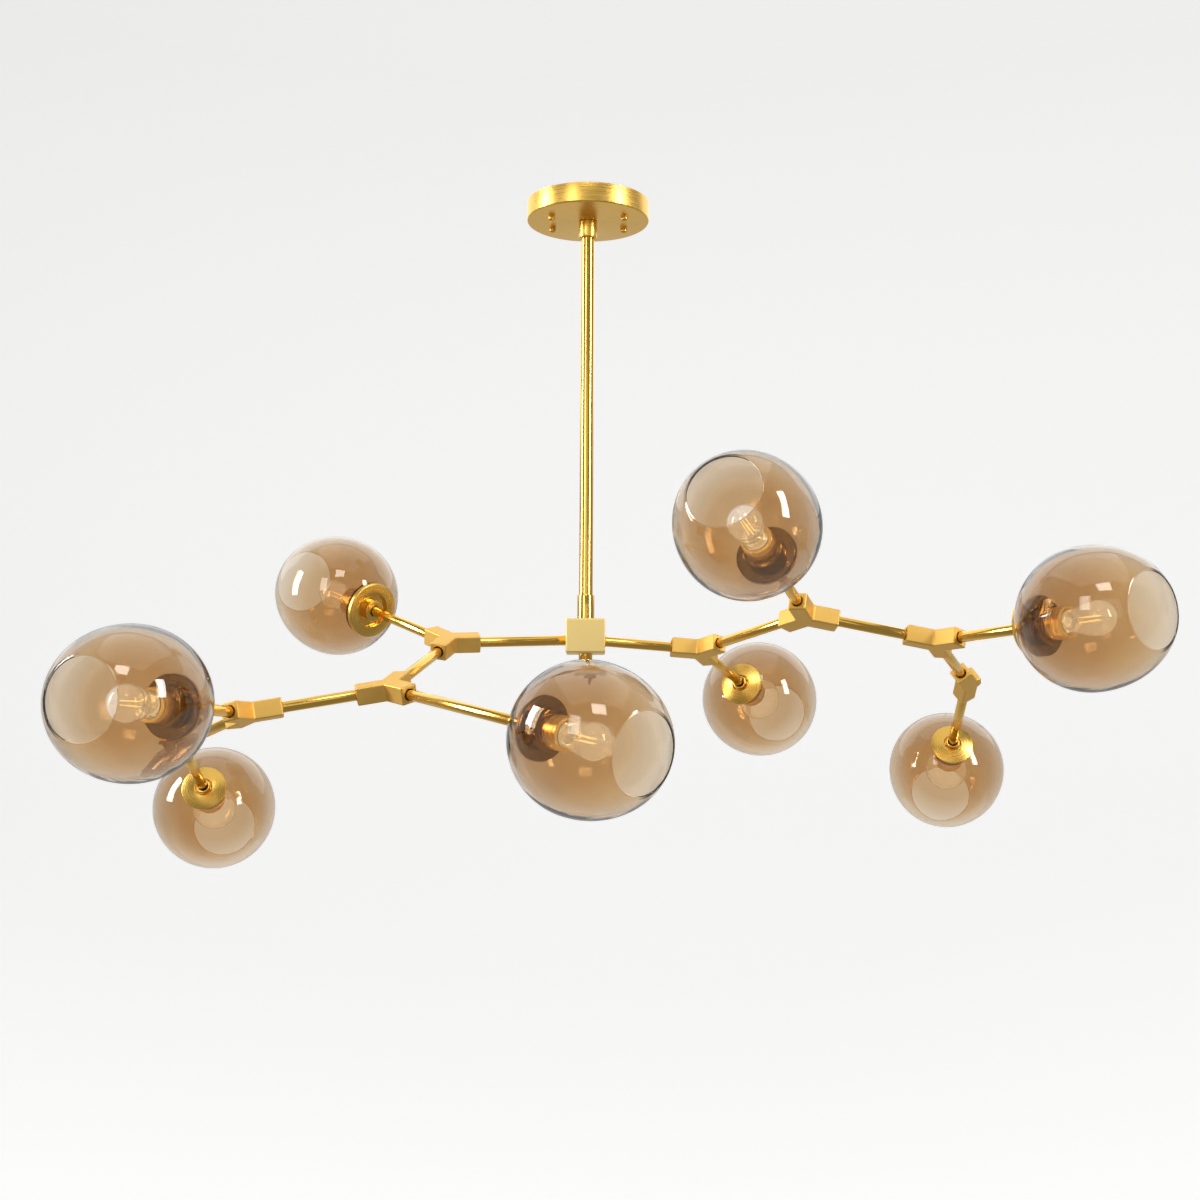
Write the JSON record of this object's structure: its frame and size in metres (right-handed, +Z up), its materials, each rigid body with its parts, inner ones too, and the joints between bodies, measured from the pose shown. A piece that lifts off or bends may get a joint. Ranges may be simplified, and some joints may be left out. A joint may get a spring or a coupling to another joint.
{
  "type": "branch chandelier",
  "caption": "Branch chandelier: a canopy and stem carry two chains of swivelling Y joints with open globe shades of tinted glass.",
  "frame": {"origin": "middle of the canopy's ceiling face, on the stem's axis", "axes": "+Z up, against the ceiling; +X to the right as seen from the front; the front is -Y"},
  "size_m": [1.1377, 0.8166, 0.8227],
  "materials": {
    "satin_brass": "satin, brushed",
    "dark_brass": "satin",
    "galvanised_steel": "zinc plated",
    "amber_glass": "clear, champagne tint",
    "clear_glass": "clear"
  },
  "bodies": {
    "ceiling": {"canopy_cover": "satin_brass", "mounting_plate": "galvanised_steel", "canopy_studs": "galvanised_steel", "cap_nuts": "satin_brass", "canopy_collar": "satin_brass"},
    "hub": {"stem_tube": "satin_brass", "stem_sleeve": "satin_brass", "hub_block": "satin_brass", "hub_finial": "satin_brass", "hub_rods": "satin_brass"},
    "branch_left_1": {"y_joint_left_1": "satin_brass", "rods_left_1": "satin_brass", "cap_left_1": "satin_brass", "shade_left_1": "amber_glass", "socket_left_1": "dark_brass"},
    "lamp_bulb_left_1": {"bulb_left_1": "clear_glass"},
    "branch_left_2": {"y_joint_left_2": "satin_brass", "rods_left_2": "satin_brass", "cap_left_2": "satin_brass", "shade_left_2": "amber_glass", "socket_left_2": "dark_brass"},
    "lamp_bulb_left_2": {"bulb_left_2": "clear_glass"},
    "branch_left_3": {"y_joint_left_3": "satin_brass", "rods_left_3": "satin_brass", "cap_left_3": "satin_brass", "shade_left_3": "amber_glass", "socket_left_3": "dark_brass"},
    "lamp_bulb_left_3": {"bulb_left_3": "clear_glass"},
    "branch_left_4": {"elbow_left_4": "satin_brass", "rods_left_4": "satin_brass", "cap_left_4": "satin_brass", "shade_left_4": "amber_glass", "socket_left_4": "dark_brass"},
    "lamp_bulb_left_4": {"bulb_left_4": "clear_glass"},
    "branch_right_1": {"y_joint_right_1": "satin_brass", "rods_right_1": "satin_brass", "cap_right_1": "satin_brass", "shade_right_1": "amber_glass", "socket_right_1": "dark_brass"},
    "lamp_bulb_right_1": {"bulb_right_1": "clear_glass"},
    "branch_right_2": {"y_joint_right_2": "satin_brass", "rods_right_2": "satin_brass", "cap_right_2": "satin_brass", "shade_right_2": "amber_glass", "socket_right_2": "dark_brass"},
    "lamp_bulb_right_2": {"bulb_right_2": "clear_glass"},
    "branch_right_3": {"y_joint_right_3": "satin_brass", "rods_right_3": "satin_brass", "cap_right_3": "satin_brass", "shade_right_3": "amber_glass", "socket_right_3": "dark_brass"},
    "lamp_bulb_right_3": {"bulb_right_3": "clear_glass"},
    "branch_right_4": {"elbow_right_4": "satin_brass", "rods_right_4": "satin_brass", "cap_right_4": "satin_brass", "shade_right_4": "amber_glass", "socket_right_4": "dark_brass"},
    "lamp_bulb_right_4": {"bulb_right_4": "clear_glass"}
  },
  "joints": [
    {"name": "stem_swivel", "type": "hinge", "parent": "ceiling", "child": "hub", "pos_m": [0, 0, -0.024], "axis": [0, 0, 1], "range_deg": [-170, 170]},
    {"name": "swivel_left_1", "type": "hinge", "parent": "hub", "child": "branch_left_1", "pos_m": [-0.15995, -0.03988, -0.5482], "axis": [-0.9694, -0.2417, -0.0436], "range_deg": [-25, 25]},
    {"name": "unscrew_bulb_left_1", "type": "hinge", "parent": "branch_left_1", "child": "lamp_bulb_left_1", "pos_m": [-0.31571, 0.10682, -0.47861], "axis": [-0.6923, 0.652, 0.3093], "continuous": true},
    {"name": "swivel_left_2", "type": "hinge", "parent": "branch_left_1", "child": "branch_left_2", "pos_m": [-0.20844, -0.19627, -0.60996], "axis": [-0.2771, -0.8937, -0.3529], "range_deg": [-25, 25]},
    {"name": "unscrew_bulb_left_2", "type": "hinge", "parent": "branch_left_2", "child": "lamp_bulb_left_2", "pos_m": [0.00504, -0.4143, -0.66466], "axis": [0.6886, -0.7033, -0.1765], "continuous": true},
    {"name": "swivel_left_3", "type": "hinge", "parent": "branch_left_2", "child": "branch_left_3", "pos_m": [-0.3533, -0.22483, -0.63642], "axis": [-0.9657, -0.1904, -0.1765], "range_deg": [-25, 25]},
    {"name": "unscrew_bulb_left_3", "type": "hinge", "parent": "branch_left_3", "child": "lamp_bulb_left_3", "pos_m": [-0.42028, -0.41325, -0.63329], "axis": [-0.3349, -0.9421, 0.0157], "continuous": true},
    {"name": "swivel_left_4", "type": "hinge", "parent": "branch_left_3", "child": "branch_left_4", "pos_m": [-0.45738, -0.10079, -0.66812], "axis": [-0.6308, 0.7518, -0.1921], "range_deg": [-25, 25]},
    {"name": "unscrew_bulb_left_4", "type": "hinge", "parent": "branch_left_4", "child": "lamp_bulb_left_4", "pos_m": [-0.46722, 0.11011, -0.74591], "axis": [-0.0437, 0.9373, -0.3457], "continuous": true},
    {"name": "swivel_right_1", "type": "hinge", "parent": "hub", "child": "branch_right_1", "pos_m": [0.13902, 0.01339, -0.55077], "axis": [0.993, 0.0956, -0.0698], "range_deg": [-25, 25]},
    {"name": "unscrew_bulb_right_1", "type": "hinge", "parent": "branch_right_1", "child": "lamp_bulb_right_1", "pos_m": [0.22948, 0.21284, -0.60234], "axis": [0.4021, 0.8864, -0.2292], "continuous": true},
    {"name": "swivel_right_2", "type": "hinge", "parent": "branch_right_1", "child": "branch_right_2", "pos_m": [0.24833, -0.13292, -0.52127], "axis": [0.5909, -0.7908, 0.1595], "range_deg": [-25, 25]},
    {"name": "unscrew_bulb_right_2", "type": "hinge", "parent": "branch_right_2", "child": "lamp_bulb_right_2", "pos_m": [0.16645, -0.3123, -0.44904], "axis": [-0.3899, -0.8542, 0.3439], "continuous": true},
    {"name": "swivel_right_3", "type": "hinge", "parent": "branch_right_2", "child": "branch_right_3", "pos_m": [0.39545, -0.12341, -0.54893], "axis": [0.9808, 0.0634, -0.1845], "range_deg": [-25, 25]},
    {"name": "unscrew_bulb_right_3", "type": "hinge", "parent": "branch_right_3", "child": "lamp_bulb_right_3", "pos_m": [0.51553, -0.2954, -0.5388], "axis": [0.5718, -0.819, 0.0483], "continuous": true},
    {"name": "swivel_right_4", "type": "hinge", "parent": "branch_right_3", "child": "branch_right_4", "pos_m": [0.46293, 0.02218, -0.58733], "axis": [0.409, 0.8824, -0.2327], "range_deg": [-25, 25]},
    {"name": "unscrew_bulb_right_4", "type": "hinge", "parent": "branch_right_4", "child": "lamp_bulb_right_4", "pos_m": [0.48281, 0.23598, -0.69454], "axis": [0.0828, 0.8908, -0.4467], "continuous": true}
  ]
}
